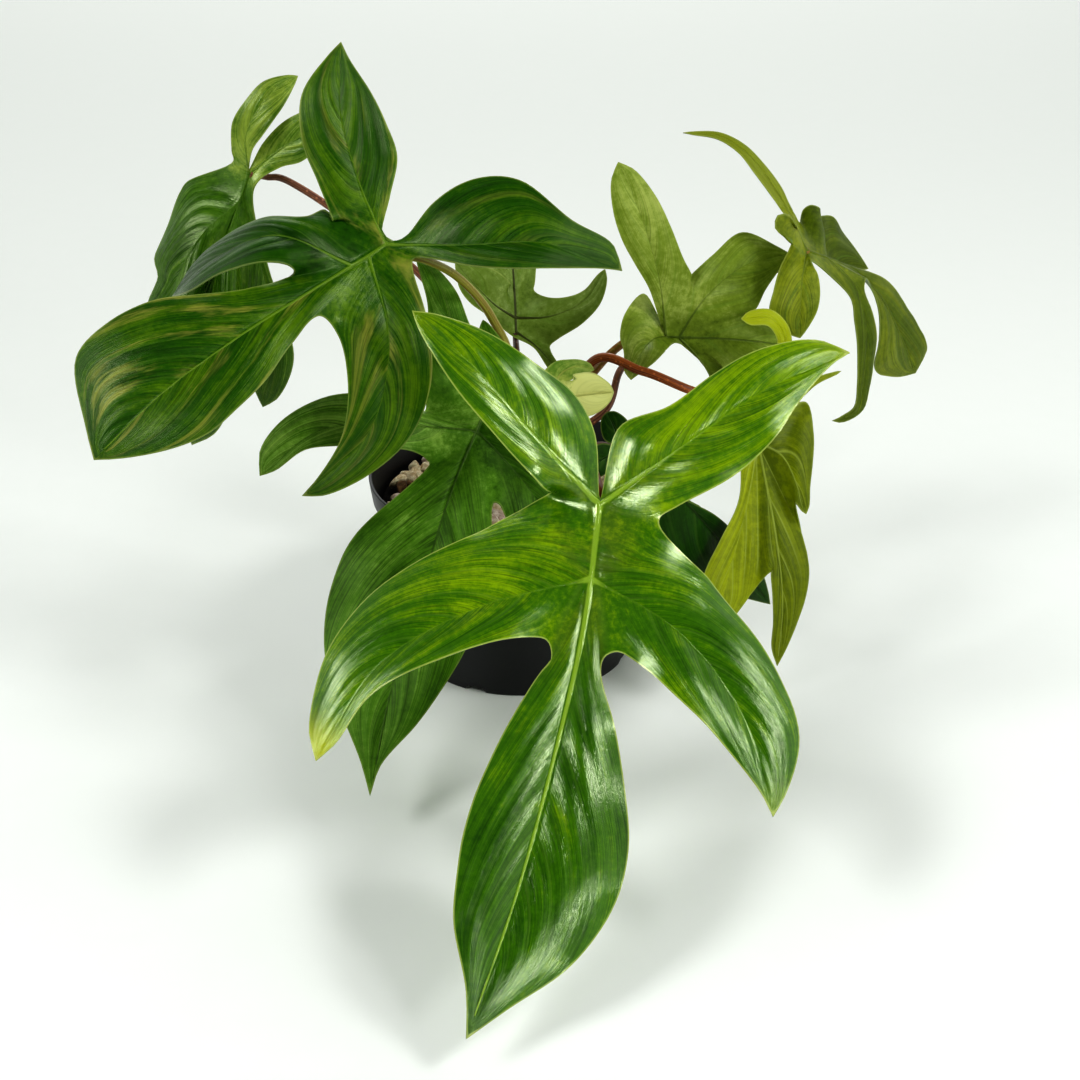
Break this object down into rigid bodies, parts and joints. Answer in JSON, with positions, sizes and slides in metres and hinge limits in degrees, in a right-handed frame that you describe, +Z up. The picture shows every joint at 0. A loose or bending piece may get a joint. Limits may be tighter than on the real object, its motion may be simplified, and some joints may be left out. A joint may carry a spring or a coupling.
{
  "type": "potted florida ghost philodendron",
  "caption": "Potted climbing aroid with glossy, deeply lobed green, lime and cream leaves on long arching stalks, in a plain black nursery pot.",
  "frame": {"origin": "middle of the pot's flat underside", "axes": "+Z up, along the pot's axis; the largest leaf reaches out along -Y, which is the front"},
  "size_m": [0.3451, 0.3726, 0.273],
  "materials": {
    "pot": "satin black moulded plastic",
    "soil": "bark chips and pumice, matte",
    "stem": "fibrous, with old leaf scars",
    "leaf_front": "glossy living leaf",
    "petiole_front": "smooth living stalk",
    "leaf_upper_left": "glossy living leaf",
    "petiole_upper_left": "smooth living stalk",
    "leaf_lower_left": "glossy living leaf",
    "petiole_lower_left": "smooth living stalk",
    "leaf_back_left": "glossy living leaf",
    "petiole_back_left": "smooth living stalk",
    "leaf_back_centre": "glossy living leaf",
    "petiole_back_centre": "smooth living stalk",
    "leaf_right_centre": "glossy living leaf",
    "petiole_right_centre": "smooth living stalk",
    "leaf_far_right": "glossy living leaf",
    "petiole_far_right": "smooth living stalk",
    "leaf_hanging_right": "glossy living leaf",
    "petiole_hanging_right": "smooth living stalk",
    "leaf_low_right": "glossy living leaf",
    "petiole_low_right": "smooth living stalk",
    "leaf_small_cream": "glossy living leaf",
    "petiole_small_cream": "smooth living stalk"
  },
  "bodies": {
    "root": {"pot": "pot", "soil": "soil", "stem": "stem", "leaf_front": "leaf_front", "petiole_front": "petiole_front", "leaf_upper_left": "leaf_upper_left", "petiole_upper_left": "petiole_upper_left", "leaf_lower_left": "leaf_lower_left", "petiole_lower_left": "petiole_lower_left", "leaf_back_left": "leaf_back_left", "petiole_back_left": "petiole_back_left", "leaf_back_centre": "leaf_back_centre", "petiole_back_centre": "petiole_back_centre", "leaf_right_centre": "leaf_right_centre", "petiole_right_centre": "petiole_right_centre", "leaf_far_right": "leaf_far_right", "petiole_far_right": "petiole_far_right", "leaf_hanging_right": "leaf_hanging_right", "petiole_hanging_right": "petiole_hanging_right", "leaf_low_right": "leaf_low_right", "petiole_low_right": "petiole_low_right", "leaf_small_cream": "leaf_small_cream", "petiole_small_cream": "petiole_small_cream"}
  },
  "joints": []
}
